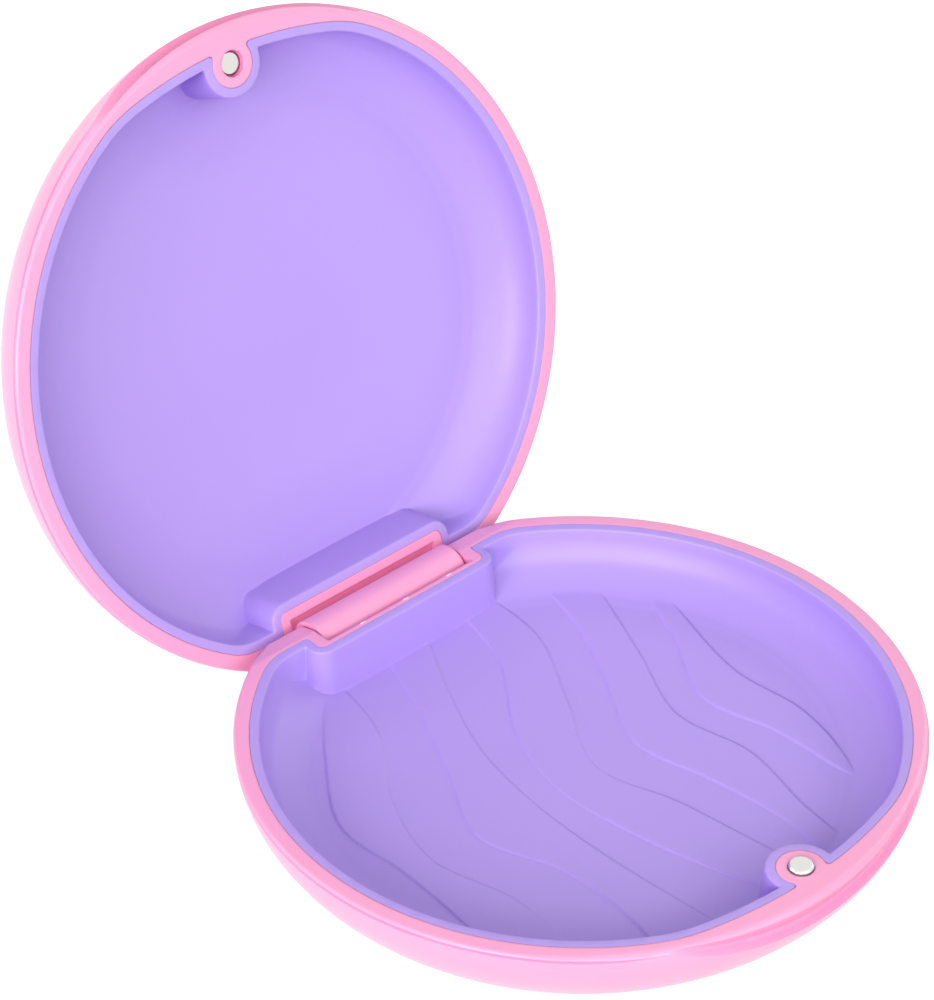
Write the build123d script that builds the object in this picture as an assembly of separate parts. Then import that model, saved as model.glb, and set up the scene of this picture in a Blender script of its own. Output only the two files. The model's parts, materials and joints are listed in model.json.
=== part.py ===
from build123d import *
import math
import os

# A round pocket case for a dental retainer. Two equal shells close rim to rim, and each holds a
# smooth moulded liner. They turn on a steel pin at the back, and two magnets at the front close them.
# Every piece is drawn with the case closed and z = 0 on the parting plane. The lid is then turned
# open, and everything is lifted so that the base rests on z = 0.

# Shells (mm)
LINER_R = 40.0          # where the liner's lip meets the shell's rim face
RIM_FACE = 1.95
OUTER_R = LINER_R + RIM_FACE
CROWN_DEPTH = 21.2      # half-height of the ellipse that both outer sides follow
BASE_DEPTH = 13.8       # parting plane to resting face
LID_DEPTH = 14.4        # parting plane to the top of the lid
LID_DOME = 1.4          # how far the top of the lid rises at its middle
BOTTOM_ROUND = 6.0
SHELL_FLOOR = 1.8
LEDGE = 0.5             # ring inside the rim that carries the liner's lip
SHELL_WALL = 1.8
INNER_R = LINER_R - LEDGE
INNER_DEPTH = CROWN_DEPTH - SHELL_WALL
RIM_ROUND = 0.35
FRONT_Y = -(LINER_R - 1.55)     # the rim face is wider at the front, where the liner's
FRONT_R = 61.0                  # outline follows this flatter arc
FRONT_BLEND = 20.0

# Liners
LIP = 1.25              # width of the lip seen at the rim
LIP_DEPTH = 2.0         # its flange stands on the shell's ledge
LIP_EDGE = 0.25         # bevel round the inside of the lip
LINER_WALL = 1.3
SIDE_WALL = 0.95
LEDGE_CLEAR = 0.3
LIP_INSIDE = (LINER_R - LIP - 0.1, 1.2)     # radius and depth where the lip passes into the side
FLOOR_R = LINER_R - 7.2         # soft edge where the side becomes the floor
FLOOR_EDGE = 6.6        # depth of that edge
FLOOR_DISH = 2.2        # extra depth at the middle of the floor
SIDE_BOW = LINER_R - 3.1        # radius that the side passes at SIDE_BOW_Z
SIDE_BOW_Z = 4.6
BOW_OUTWARD = (0.65, 0.75)      # direction of the side's outer face there
LINER_FIT = 0.08        # clearance between a liner and its shell
POCKET_CORNER = 1.0     # front corners of the hinge pocket
CHORD_CORNER = 8.0      # bend from the straight back edge into the round
TIP_ROUND = 0.45        # tips of the lip beside the pocket and the magnet boss
BLOCK_LEAN = (1.3, 0.9)         # how far the block round the pocket spreads, in y and in x

# Hinge, at the back
OPEN_ANGLE = 107.4
AXIS_Y = LINER_R - 3.7
AXIS_Z = -3.0
PIN_R = 0.8
PIN_TIGHT = 0.01        # radial clearance in the base's cheeks
PIN_FREE = 0.05         # radial clearance in the lid's barrel
PIN_BLIND_X = -16.0
PIN_OPEN_X = 19.0
PIN_END = 0.1           # gap at the blind end
PIN_CHAMFER = 0.2
BARREL_R = 3.3
BARREL_GAP = 0.32
ARM_ROOT = 5.0          # height in the lid at which the barrel's arm meets the back face
POCKET_HALF = 12.12
POCKET_FRONT = AXIS_Y - BARREL_R - BARREL_GAP   # inner face of the pocket's front wall
POCKET_WALL = 0.72
BASE_SIDE = 1.68        # rim between the pocket's end and the liner, on each half
LID_SIDE = 1.4
POCKET_DEPTH = 7.2      # deep enough for the barrel's arm to swing down
STRIP_WALL = 1.3        # flat strip along the lid's half of the pocket
COVE_DEPTH = 0.8        # hollow sweep between that strip and the barrel
CHORD_Y = AXIS_Y - 1.4          # straight edge of the lip beside the pocket
BACK_Y = AXIS_Y + 1.4           # straight back edge of both rims
BACK_DRAFT = 10.0       # lean of the back faces, which stop the open lid
RELIEF_LEAN = 0.25      # slope of the base's rim behind the axis

# Magnets and their bosses, at the front
MAGNET_Y = -(LINER_R - 3.52)
MAGNET_R = 1.5
MAGNET_H = 2.0
MAGNET_EDGE = 0.2
MAGNET_FIT = 0.03
MAGNET_PROUD = 0.5      # the base's magnet stands up by this
MAGNET_SUNK = 0.6       # and the lid's magnet is set back by this
MAGNET_ENTRY = 0.15     # radial room round the other magnet when the case is shut
BOSS_R = 2.95

# Crease and finger scoop round both shells
CREASE_Z = 0.6
CREASE_HALF = 0.2
CREASE_DEPTH = 0.25
SCOOP_Z = 3.0           # depth of the scoop's root at the front
SCOOP_BITE = 1.2        # how far the root is set back from the outside
SCOOP_LEAN = 1.4        # how far the finger face leans out from the root to the rim
SCOOP_ROUND = 0.6
SCOOP_TILT = 32.0       # the root lies in a tilted plane and climbs into the rim at both ends
SCOOP_R = 42.7
BROW_SET = 0.45         # the rim above the scoop is set back by this at the front
BROW_R = 44.0           # radius in plan of its set-back edge, which runs out at both sides
BROW_ROUND = 1.1
BROW_LIFT = 0.02        # the round meets the rim face at a slight angle

# Raised bands on the base's floor. Each row is one wave line: x where it crosses the stations in y.
WAVE_RISE = 0.25
WAVE_EDGE_R = FLOOR_R - 0.5     # the relief runs out here, after sinking over WAVE_FADE
WAVE_FADE = 3.5
WAVE_ROOT = 0.3         # how far the bands are let into the floor
WAVE_CLEAR = 0.2        # gap from the bands to the walls round the pocket and the boss
WAVE_STATIONS = (33.0, 22.0, 11.0, 0.0, -12.0, -24.0, -34.0)
WAVE_LINES = (
    (-14.0, -22.1, -29.1, -28.8, -29.9, -33.0, -36.0),
    (-11.5, -13.6, -20.8, -24.5, -22.1, -23.8, -26.5),
    (-3.4, -6.9, -11.9, -17.2, -14.0, -14.9, -18.0),
    (3.9, -1.7, -6.0, -7.8, -8.4, -8.4, -8.4),
    (9.4, 6.9, -0.5, -3.9, -3.2, -1.4, 0.6),
    (14.0, 13.8, 8.4, 2.5, 4.9, 5.7, 5.9),
    (20.6, 19.4, 14.7, 9.1, 10.6, 11.0, 9.0),
    (29.0, 25.2, 21.1, 16.5, 17.5, 14.4, 12.4),
    (34.0, 30.4, 26.6, 20.9, 22.4, 22.1, 22.6),
    (37.0, 33.0, 29.6, 27.1, 27.2, 24.2, 20.0),
)

BIG = 120.0


def turned(edges):
    """Turn a half section in the XZ plane about the case's centre line."""
    return revolve(make_face(edges), axis=Axis.Z, revolution_arc=360)


def polygon_xz(*points):
    return Polyline(*[(x, 0, z) for x, z in points], close=True).edges()


def across(*points):
    """A long bar along x with its section given in the YZ plane."""
    face = make_face(Polyline(*[(0, y, z) for y, z in points], close=True).edges())
    return Pos(BIG / 2, 0, 0) * extrude(face, BIG, dir=(-1, 0, 0))


def block(half_x, y_from, y_to, z_from, z_to):
    middle = Pos(0, (y_from + y_to) / 2, (z_from + z_to) / 2)
    return middle * Box(2 * half_x, y_to - y_from, z_to - z_from)


def rod(radius, x_from, x_to):
    """A cylinder on the hinge axis."""
    return Pos((x_from + x_to) / 2, AXIS_Y, AXIS_Z) * Rot(0, 90, 0) * Cylinder(radius, x_to - x_from)


def post(radius, z_from, z_to):
    """A cylinder on the magnets' axis."""
    return Pos(0, MAGNET_Y, (z_from + z_to) / 2) * Cylinder(radius, z_to - z_from)


def ellipse_r(depth, wide, deep):
    return wide * math.sqrt(1 - (depth / deep) ** 2)


def ellipse_side(wide, deep, depth_from, depth_to):
    """The part of an ellipse between two depths below the parting plane, in the XZ plane."""
    first = math.degrees(math.asin(depth_from / deep))
    last = math.degrees(math.asin(depth_to / deep))
    return Plane.XZ * EllipticalCenterArc((0, 0), wide, deep, start_angle=-last, arc_size=last - first)


def outer_blank(depth, dome):
    """The outside of one shell, drawn downward, with an elliptic side and a flat or domed end."""
    shoulder = depth - dome
    shoulder_r = ellipse_r(shoulder, OUTER_R, CROWN_DEPTH)
    edges = [
        Line((0, 0, 0), (OUTER_R, 0, 0)),
        ellipse_side(OUTER_R, CROWN_DEPTH, 0, shoulder),
        Line((0, 0, -depth), (0, 0, 0)),
    ]
    if dome:
        halfway = (shoulder_r / 2, 0, -shoulder - dome * 0.75)
        edges.append(ThreePointArc((shoulder_r, 0, -shoulder), halfway, (0, 0, -depth)))
    else:
        edges.append(Line((shoulder_r, 0, -shoulder), (0, 0, -depth)))
    blank = turned(edges)
    blank = fillet(ring_edge(blank, shoulder_r), BOTTOM_ROUND)
    return fillet(ring_edge(blank, OUTER_R), RIM_ROUND)


def ring_edge(solid, radius):
    """The full circle of this radius among a solid's edges."""
    return [e for e in solid.edges() if abs(e.length - 2 * math.pi * radius) < 0.001]


def pocket_outline(side, grow, flare_y=0.0, flare_x=0.0):
    """Plan of the hinge pocket's walls from outside, with rounded front corners."""
    half = POCKET_HALF + side + grow + flare_x
    front = POCKET_FRONT - POCKET_WALL - grow - flare_y
    plan = Pos(0, front + BIG / 4) * Rectangle(2 * half, BIG / 2)
    return fillet(plan.vertices().sort_by(Axis.Y)[:2], POCKET_CORNER + grow)


def round_plan(inset):
    """The round plan with its flatter front arc, and a small arc that joins the two on each side."""
    flat_y = FRONT_Y + FRONT_R
    to_join, from_flat = LINER_R - FRONT_BLEND, FRONT_R - FRONT_BLEND
    join_y = (to_join ** 2 - from_flat ** 2 + flat_y ** 2) / (2 * flat_y)
    join = Vector(math.sqrt(to_join ** 2 - join_y ** 2), join_y)
    outward, forward = join.normalized(), (join - Vector(0, flat_y)).normalized()
    radius = FRONT_BLEND - inset
    points = [join + direction * radius for direction in (outward, (outward + forward).normalized(), forward)]
    other = [Vector(-point.X, point.Y) for point in points]
    return make_face([
        ThreePointArc(other[0], (0, LINER_R - inset), points[0]),
        ThreePointArc(*points),
        ThreePointArc(points[2], (0, FRONT_Y + inset), other[2]),
        ThreePointArc(*reversed(other)),
    ])


def liner_outline(side, inset):
    """Plan of the line where liner and shell meet, moved in by an equal distance all round."""
    plan = round_plan(inset)
    chord = CHORD_Y - inset
    plan -= Pos(0, chord + BIG / 2) * Rectangle(BIG, BIG)
    plan = fillet(nearest(plan, LINER_R, chord), CHORD_CORNER)
    plan -= pocket_outline(side, inset)
    plan = fillet(nearest(plan, POCKET_HALF + side + inset, chord), TIP_ROUND)
    plan -= Pos(0, MAGNET_Y) * Circle(BOSS_R + inset)
    return fillet(nearest(plan, BOSS_R + inset, FRONT_Y + inset), TIP_ROUND)


def nearest(plan, x, y):
    """The pair of corners, one on each side, that lies nearest to x and y."""
    return plan.vertices().sort_by(lambda v: math.hypot(abs(v.X) - x, v.Y - y))[:2]


def walls(side, inset):
    """The space within an inset outline, where the hinge block spreads as it goes down."""
    depth = BASE_DEPTH
    space = Pos(0, 0, -depth) * extrude(liner_outline(side, inset), depth + 1)
    foot = Pos(0, 0, -depth) * pocket_outline(side, inset, *BLOCK_LEAN)
    return space - loft([pocket_outline(side, inset), foot])


def dish(lip_r, side, bow, floor_edge):
    """A shallow bowl: short lip, bowed side and a gently hollow floor."""
    low = -floor_edge - FLOOR_DISH
    edges = [
        Line((0, 0, 0), (lip_r, 0, 0)),
        Line((lip_r, 0, 0), (side[0], 0, -side[1])),
        ThreePointArc((side[0], 0, -side[1]), (bow[0], 0, -bow[1]), (FLOOR_R, 0, -floor_edge)),
        ThreePointArc((FLOOR_R, 0, -floor_edge), (FLOOR_R / 2, 0, low + FLOOR_DISH / 4), (0, 0, low)),
        Line((0, 0, low), (0, 0, 0)),
    ]
    return turned(edges)


def liner_inside():
    """Open at the top, where the inset outline gives the lip its upright inside."""
    return dish(LINER_R, LIP_INSIDE, (SIDE_BOW, SIDE_BOW_Z), FLOOR_EDGE)


def liner_outside():
    """A flange under the lip, and below it a thinner side that clears the shell's ledge."""
    body_r = ellipse_r(LIP_DEPTH, INNER_R, INNER_DEPTH) - LEDGE_CLEAR
    bow = (SIDE_BOW + SIDE_WALL * BOW_OUTWARD[0], SIDE_BOW_Z + SIDE_WALL * BOW_OUTWARD[1])
    body = dish(body_r, (body_r, LIP_DEPTH), bow, FLOOR_EDGE + LINER_WALL)
    flange = Pos(0, 0, -LIP_DEPTH / 2) * Cylinder(LINER_R, LIP_DEPTH)
    return body + flange


def liner(side):
    """A dished floor and side, with walls round the hinge pocket and the magnet boss."""
    room = liner_inside() & walls(side, LIP)
    rim, lower = liner_outline(side, LIP - LIP_EDGE), liner_outline(side, LIP)
    mouth = loft([rim, Pos(0, 0, -LIP_EDGE) * lower])
    return (liner_outside() & walls(side, LINER_FIT)) - room - mouth


def wave_band(left, right):
    """Plan of one raised band between two wave lines."""
    first = Spline(*zip(left, WAVE_STATIONS))
    second = Spline(*zip(right, WAVE_STATIONS))
    return make_face([first, Line(first @ 1, second @ 1), second, Line(second @ 0, first @ 0)])


def waves():
    """Raised bands that follow the dished floor."""
    def floor_z(r):
        return -FLOOR_EDGE - FLOOR_DISH * (1 - (r / FLOOR_R) ** 2)

    far = WAVE_EDGE_R
    near = far - WAVE_FADE
    layer = turned([
        Line((0, 0, floor_z(0) - WAVE_ROOT), (0, 0, floor_z(0) + WAVE_RISE)),
        ThreePointArc(
            (0, 0, floor_z(0) + WAVE_RISE),
            (near / 2, 0, floor_z(near / 2) + WAVE_RISE),
            (near, 0, floor_z(near) + WAVE_RISE),
        ),
        Line((near, 0, floor_z(near) + WAVE_RISE), (far, 0, floor_z(far) - WAVE_ROOT / 4)),
        Line((far, 0, floor_z(far) - WAVE_ROOT / 4), (far, 0, floor_z(far) - WAVE_ROOT)),
        ThreePointArc(
            (far, 0, floor_z(far) - WAVE_ROOT),
            (far / 2, 0, floor_z(far / 2) - WAVE_ROOT),
            (0, 0, floor_z(0) - WAVE_ROOT),
        ),
    ])
    layer -= post(BOSS_R + LIP + WAVE_CLEAR, -BASE_DEPTH, 0)
    layer -= pressed(pocket_outline(BASE_SIDE, LIP + WAVE_CLEAR, *BLOCK_LEAN))
    pairs = zip(WAVE_LINES[0::2], WAVE_LINES[1::2])
    return [layer & pressed(wave_band(*pair)) for pair in pairs]


def pressed(plan):
    """A plan carried down from the parting plane to the base's underside."""
    return Pos(0, 0, -BASE_DEPTH) * extrude(plan, BASE_DEPTH)


def shell_hollow(depth, side):
    """The inside of one shell: seat for the lip, ledge, and an inner ellipse with a flat end."""
    floor = depth - SHELL_FLOOR
    ledge_r = ellipse_r(LIP_DEPTH, INNER_R, INNER_DEPTH)
    floor_r = ellipse_r(floor, INNER_R, INNER_DEPTH)
    seat_r = LINER_R + 1        # the outline cuts this back to the lip's own edge
    hollow = turned([
        Line((0, 0, 1), (seat_r, 0, 1)),
        Line((seat_r, 0, 1), (seat_r, 0, -LIP_DEPTH)),
        Line((seat_r, 0, -LIP_DEPTH), (ledge_r, 0, -LIP_DEPTH)),
        ellipse_side(INNER_R, INNER_DEPTH, LIP_DEPTH, floor),
        Line((floor_r, 0, -floor), (0, 0, -floor)),
        Line((0, 0, -floor), (0, 0, 1)),
    ])
    plan = Pos(0, 0, -depth) * extrude(liner_outline(side, 0), depth + 2)
    return hollow & plan


def back_cut():
    """Everything behind the straight back face, which leans outward away from the rim."""
    low = -2 * LID_DEPTH
    return across((back_y(-1), 1), (back_y(-low), low), (BIG, low), (BIG, 1))


def back_y(depth):
    """Where the leaning back face lies at a depth below the parting plane."""
    return BACK_Y + depth * math.tan(math.radians(BACK_DRAFT))


def crease():
    r = ellipse_r(CREASE_Z, OUTER_R, CROWN_DEPTH)
    top = (r + CREASE_DEPTH, -CREASE_Z + 2 * CREASE_HALF)
    low = (r + CREASE_DEPTH, -CREASE_Z - 2 * CREASE_HALF)
    return turned(polygon_xz(top, low, (r - CREASE_DEPTH, -CREASE_Z)))


def scoop():
    """A hollow for the finger: a leaning face with a rounded root and a short step below it."""
    root_y = -(ellipse_r(SCOOP_Z, OUTER_R, CROWN_DEPTH) - SCOOP_BITE)
    reach = OUTER_R + 8
    outline = make_face(Polyline(
        (0, root_y, -SCOOP_Z),
        (0, root_y - 2 * SCOOP_LEAN, SCOOP_Z),
        (0, -reach, SCOOP_Z),
        (0, -reach, -SCOOP_Z - reach - root_y),
        close=True,
    ).edges())
    root = outline.vertices().sort_by(Axis.Y)[-1]
    outline = fillet(root, SCOOP_ROUND)
    tilt = math.radians(SCOOP_TILT)
    middle = (0, root_y + SCOOP_R * math.cos(tilt), -SCOOP_Z + SCOOP_R * math.sin(tilt))
    turning = Axis(middle, (0, -math.sin(tilt), math.cos(tilt)))
    return revolve(outline, axis=turning, revolution_arc=360)


def brow():
    """Trims the rim's edge above the scoop to a soft round that fades out at both sides."""
    middle = BROW_R - OUTER_R + BROW_SET
    inner, outer = BROW_R - BROW_ROUND, BROW_R + 4
    low, top = -2 * SCOOP_Z, BROW_LIFT
    half_way = BROW_ROUND * math.sqrt(0.5)
    profile = [
        Line((outer, 0, low), (BROW_R, 0, low)),
        Line((BROW_R, 0, low), (BROW_R, 0, top - BROW_ROUND)),
        ThreePointArc(
            (BROW_R, 0, top - BROW_ROUND),
            (inner + half_way, 0, top - BROW_ROUND + half_way),
            (inner, 0, top),
        ),
        Line((inner, 0, top), (inner, 0, 1)),
        Line((inner, 0, 1), (outer, 0, 1)),
        Line((outer, 0, 1), (outer, 0, low)),
    ]
    front = Pos(0, -BIG / 2) * Box(BIG, BIG, BIG)
    return Pos(0, middle) * turned(profile) & front


def shell(depth, dome, side):
    """What both shells share, drawn downward."""
    body = outer_blank(depth, dome) - back_cut() - shell_hollow(depth, side)
    return body - crease() - brow() - scoop()


def base_shell():
    """The lower shell: a trough for the barrel, cheeks with the pin's hole, and a boss."""
    body = shell(BASE_DEPTH, 0, BASE_SIDE)
    body -= block(POCKET_HALF, POCKET_FRONT, BIG / 2, -POCKET_DEPTH, 1)
    near, far = AXIS_Y - 1, AXIS_Y + 5
    body -= across((near, 0), (far, (near - far) * RELIEF_LEAN), (far, 1), (near, 1))
    body -= rod(PIN_R + PIN_TIGHT, PIN_BLIND_X, BIG / 2)
    body -= post(MAGNET_R + MAGNET_FIT, MAGNET_PROUD - MAGNET_H, 1)
    return body


def lid_shell():
    """The upper shell in its closed place, with the barrel on its arm."""
    body = mirror(shell(LID_DEPTH, LID_DOME, LID_SIDE), about=Plane.XY)
    half = POCKET_HALF - BARREL_GAP
    barrel_y = AXIS_Y - math.sqrt(BARREL_R ** 2 - AXIS_Z ** 2)
    body -= cove(POCKET_FRONT - POCKET_WALL + STRIP_WALL, barrel_y + BARREL_GAP)
    root_y = back_y(ARM_ROOT)
    arm = across((barrel_y, AXIS_Z), (AXIS_Y + BARREL_R, AXIS_Z), (root_y, ARM_ROOT), (barrel_y, ARM_ROOT))
    body += arm & block(half, 0, BIG / 2, -10, 10)
    body += rod(BARREL_R, -half, half)
    body -= rod(PIN_R + PIN_FREE, -half - 1, half + 1)
    body -= post(MAGNET_R + MAGNET_ENTRY, -1, MAGNET_SUNK)
    body -= post(MAGNET_R + MAGNET_FIT, 0, MAGNET_SUNK + MAGNET_H)
    return body


def cove(y_from, y_to):
    """A round-bottomed hollow along the lid's half of the pocket."""
    half = (y_to - y_from) / 2
    radius = (half ** 2 + COVE_DEPTH ** 2) / (2 * COVE_DEPTH)
    along = Rot(0, 90, 0) * Cylinder(radius, 2 * POCKET_HALF)
    return Pos(0, (y_from + y_to) / 2, COVE_DEPTH - radius) * along


def magnet(z_low):
    disc = post(MAGNET_R, z_low, z_low + MAGNET_H)
    return chamfer(disc.edges().filter_by(GeomType.CIRCLE), MAGNET_EDGE)


def hinge_pin():
    pin = rod(PIN_R, PIN_BLIND_X + PIN_END, PIN_OPEN_X)
    return chamfer(pin.edges().filter_by(GeomType.CIRCLE), PIN_CHAMFER)


def base_liner():
    solid = liner(BASE_SIDE)
    for band in waves():
        solid += band
    return solid


def lid_liner():
    return mirror(liner(LID_SIDE), about=Plane.XY)


def opened(piece):
    """Turn a piece of the closed lid about the hinge axis to the open pose."""
    hinge = Pos(0, AXIS_Y, AXIS_Z)
    return hinge * Rot(-OPEN_ANGLE, 0, 0) * hinge.inverse() * piece


def save(name, piece):
    placed = Pos(0, 0, BASE_DEPTH) * piece
    solids = placed.solids()
    print(name, len(solids), "solid", round(placed.volume, 1), "mm3", placed.is_valid)
    placed = solids[0] if len(solids) == 1 else placed
    placed.label = name
    export_step(placed, os.path.join("parts", name + ".step"))


os.makedirs("parts", exist_ok=True)
save("base_shell", base_shell())
save("base_liner", base_liner())
save("base_magnet", magnet(MAGNET_PROUD - MAGNET_H))
save("hinge_pin", hinge_pin())
save("lid_shell", opened(lid_shell()))
save("lid_liner", opened(lid_liner()))
save("lid_magnet", opened(magnet(MAGNET_SUNK)))
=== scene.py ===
# %% [markdown]
# # A retainer case, open
# This round pocket case stands open on white paper. Two glossy pink shells turn on a steel pin, each
# holds a lavender liner with a soft sheen, and two small plated magnets close them at the front. The
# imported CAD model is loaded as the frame: its pieces are never moved, and what is modelled here is
# fitted to them.

# %% Load the frame
import json
import math

import bmesh
import bpy
import numpy as np
from mathutils import Matrix, Vector
from mathutils.geometry import delaunay_2d_cdt


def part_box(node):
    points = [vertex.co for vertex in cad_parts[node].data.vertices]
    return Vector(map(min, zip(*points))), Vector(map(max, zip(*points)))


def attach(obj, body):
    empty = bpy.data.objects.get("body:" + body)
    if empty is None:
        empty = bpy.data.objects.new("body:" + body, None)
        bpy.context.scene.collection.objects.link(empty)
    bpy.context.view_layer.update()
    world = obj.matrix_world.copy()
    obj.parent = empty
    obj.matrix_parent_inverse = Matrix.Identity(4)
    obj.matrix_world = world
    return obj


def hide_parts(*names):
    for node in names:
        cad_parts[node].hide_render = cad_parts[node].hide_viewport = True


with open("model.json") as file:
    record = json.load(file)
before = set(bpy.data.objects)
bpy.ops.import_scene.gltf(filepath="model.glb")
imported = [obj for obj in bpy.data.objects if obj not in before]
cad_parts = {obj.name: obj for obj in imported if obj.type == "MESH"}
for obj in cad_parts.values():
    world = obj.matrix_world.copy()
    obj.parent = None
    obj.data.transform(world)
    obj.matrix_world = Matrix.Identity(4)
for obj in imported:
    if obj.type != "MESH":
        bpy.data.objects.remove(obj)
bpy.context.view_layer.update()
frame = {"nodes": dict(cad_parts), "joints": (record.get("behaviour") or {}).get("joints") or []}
nodes = frame["nodes"]

# %% [markdown]
# Each liner is easiest to think about lying flat with its mouth up, the way it comes out of its mould.
# In that flat frame the parting plane is z = 0, and everything lies below it. The base's liner only
# has to be lowered. The lid's is swung shut about the hinge and then mirrored, because the two liners
# are twins that face each other. The hinge is read from the model's own joint, and the height of the
# parting plane from the base shell, whose rim ends on it.

# %% The flat frame
MM = 0.001
parting_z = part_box("base_shell")[1][2]
lower = Matrix.Translation((0, 0, -parting_z))
hinge = frame["joints"][0]
pivot = Vector(hinge["pos_m"])
swing = Matrix.Rotation(math.radians(hinge["range_deg"][1]), 4, "X")
shut = Matrix.Translation(pivot) @ swing @ Matrix.Translation(-pivot)
flat = {
    "base": lower,
    "lid": Matrix.Scale(-1, 4, (0, 0, 1)) @ lower @ shut,
}
print("parting plane at", round(parting_z / MM, 3), "mm, lid closes by", hinge["range_deg"][1], "degrees")

# %% [markdown]
# The CAD liner has exact but hard edges. A moulded liner is softer: the lip is rounded, the walls lean
# a little so that it leaves the mould, and each wall runs into the floor in a fillet. A Bevel modifier
# can't lean a wall or hollow a floor, so the inside is pressed anew, and only the outline and the
# outside are kept from the CAD piece. A copy of each liner is laid flat first. Its triangles come
# loose from the CAD program, so corners in the same place are joined.

# %% Lay the liners flat
LINERS = {"base": "base_liner", "lid": "lid_liner"}
WELD = 1e-7             # in m


def laid_flat(node, to_flat):
    """The CAD liner in its flat frame, in millimetres."""
    shell = bmesh.new()
    shell.from_mesh(nodes[node].data)
    bmesh.ops.remove_doubles(shell, verts=shell.verts, dist=WELD)
    shell.transform(Matrix.Scale(1 / MM, 4) @ to_flat)
    if to_flat.determinant() < 0:
        bmesh.ops.reverse_faces(shell, faces=shell.faces)
    return shell


shells = {body: laid_flat(node, flat[body]) for body, node in LINERS.items()}
for body, shell in shells.items():
    print(LINERS[body], "lies flat with", len(shell.verts), "vertices")

# %% [markdown]
# The inside could be picked by its height, but the outside reaches the same heights. A flood fill is
# surer: it starts on a floor face near the middle, walks from face to face, and stops at the lip,
# where both ends of an edge lie on the parting plane. The faces that it finds are taken out.

# %% Take out the hard inside
START_R = 6             # the fill starts within this radius, in mm
ON_PLANE = 1e-3         # a vertex this near to z = 0 lies on the parting plane


def inside_faces(shell):
    """Flood fill from the middle of the floor up to the lip."""
    near = [f for f in shell.faces if f.calc_center_median().xy.length < START_R and f.normal.z > 0.5]
    start = max(near, key=lambda f: f.calc_center_median().z)
    found, edge_of_fill = {start}, [start]
    while edge_of_fill:
        face = edge_of_fill.pop()
        for edge in face.edges:
            if all(abs(v.co.z) < ON_PLANE for v in edge.verts):
                continue
            fresh = [f for f in edge.link_faces if f not in found]
            found.update(fresh)
            edge_of_fill.extend(fresh)
    return list(found)


for body, shell in shells.items():
    inside = inside_faces(shell)
    bmesh.ops.delete(shell, geom=inside, context="FACES")
    print(LINERS[body], "gives up", len(inside), "faces")

# %% [markdown]
# The edge that is left open is the rim of the new inside. It is followed from vertex to vertex, so that
# it can be used as a closed line in plan.

# %% Follow the open rim
def open_rim(shell):
    """The open edge as an ordered ring of vertices, counter-clockwise seen from above."""
    follow = {}
    for edge in shell.edges:
        if edge.is_boundary:
            a, b = edge.verts
            follow.setdefault(a, []).append(b)
            follow.setdefault(b, []).append(a)
    ring = [next(iter(follow))]
    while len(ring) < len(follow):
        ring.append(next(v for v in follow[ring[-1]] if v not in ring[-2:]))
    area = sum(a.co.x * b.co.y - b.co.x * a.co.y for a, b in zip(ring, ring[1:] + ring[:1]))
    return ring if area > 0 else ring[::-1]


rings = {body: open_rim(shell) for body, shell in shells.items()}
rims = {body: np.array([v.co.xy for v in ring]) for body, ring in rings.items()}
print("rim vertices", {body: len(rim) for body, rim in rims.items()})

# %% [markdown]
# The new inside is one height field: every point in plan has one depth. Near the rim the depth follows
# the wall profile, which needs the distance to the rim. Further in it follows the bowl, which needs
# the distance to the middle: a floor hollowed by a shallow parabola, a lower side that leaves it at a
# soft crease, and an upper side that is an arc. Where two of these surfaces meet, the higher one is
# kept, and a soft maximum blends the two, which is what gives the fillets.

# %% Depth of the moulded inside
WALL_IN = (0.0, 0.07, 0.15, 0.21, 0.25, 0.28, 1.05)         # distance in from the rim, in mm
WALL_DOWN = (0.0, -0.01, -0.05, -0.12, -0.22, -0.35, -8.6)    # a rounded lip, then a leaning wall
FLOOR_R, FLOOR_EDGE, FLOOR_DISH = 32.8, 6.6, 2.2
SIDE_FROM, SIDE_SLOPE, SIDE_CURVE = 32.4, 0.3, 0.04
CREASE_REACH, CREASE_BLEND = 1.0, 0.15
ARC_ACROSS, ARC_UP, ARC_R = 32.11, 0.015, 6.65
ARC_END = 0.9985        # share of its radius at which the arc counts as upright
ARC_BLEND = 0.4


def soft_max(a, b, blend):
    """The larger of two heights, with the crease between them filled over the blend width."""
    near = np.maximum(blend - np.abs(a - b), 0) / blend
    return np.maximum(a, b) + near ** 3 * blend / 6


def floor_height(r):
    return -FLOOR_EDGE - FLOOR_DISH * (1 - (r / FLOOR_R) ** 2)


def bowl_height(r):
    """The hollow floor, its slow rise towards the side, and the steep upper side."""
    out = np.maximum(r - SIDE_FROM, -CREASE_REACH)
    rise = floor_height(SIDE_FROM) + SIDE_SLOPE * out + SIDE_CURVE * out ** 2
    slow = soft_max(floor_height(r), rise, CREASE_BLEND)
    slow = np.where(r > SIDE_FROM - CREASE_REACH, slow, floor_height(r))
    out = np.clip(r - ARC_ACROSS, 0, ARC_R * ARC_END)
    steep = ARC_UP - np.sqrt(ARC_R ** 2 - out ** 2) - np.maximum(ARC_ACROSS - r, 0)
    return soft_max(slow, steep, ARC_BLEND)


def wall_height(inward):
    return np.interp(inward, WALL_IN, WALL_DOWN)


print("floor in the middle", round(float(bowl_height(np.array([0.0]))[0]), 2), "mm")

# %% [markdown]
# The base's floor carries flowing raised bands, so that a wet retainer doesn't stick. Each is bounded
# by two lines. A line is given by the x at which it crosses seven stations in y, and a smooth curve
# through them gives the rest. The first line of each pair is the left edge of a band, the second its
# right edge, and the bands run out where the side rises above them. They could be separate strips laid
# on the floor, but as part of the height field they grow out of it as in the mould.

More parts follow.
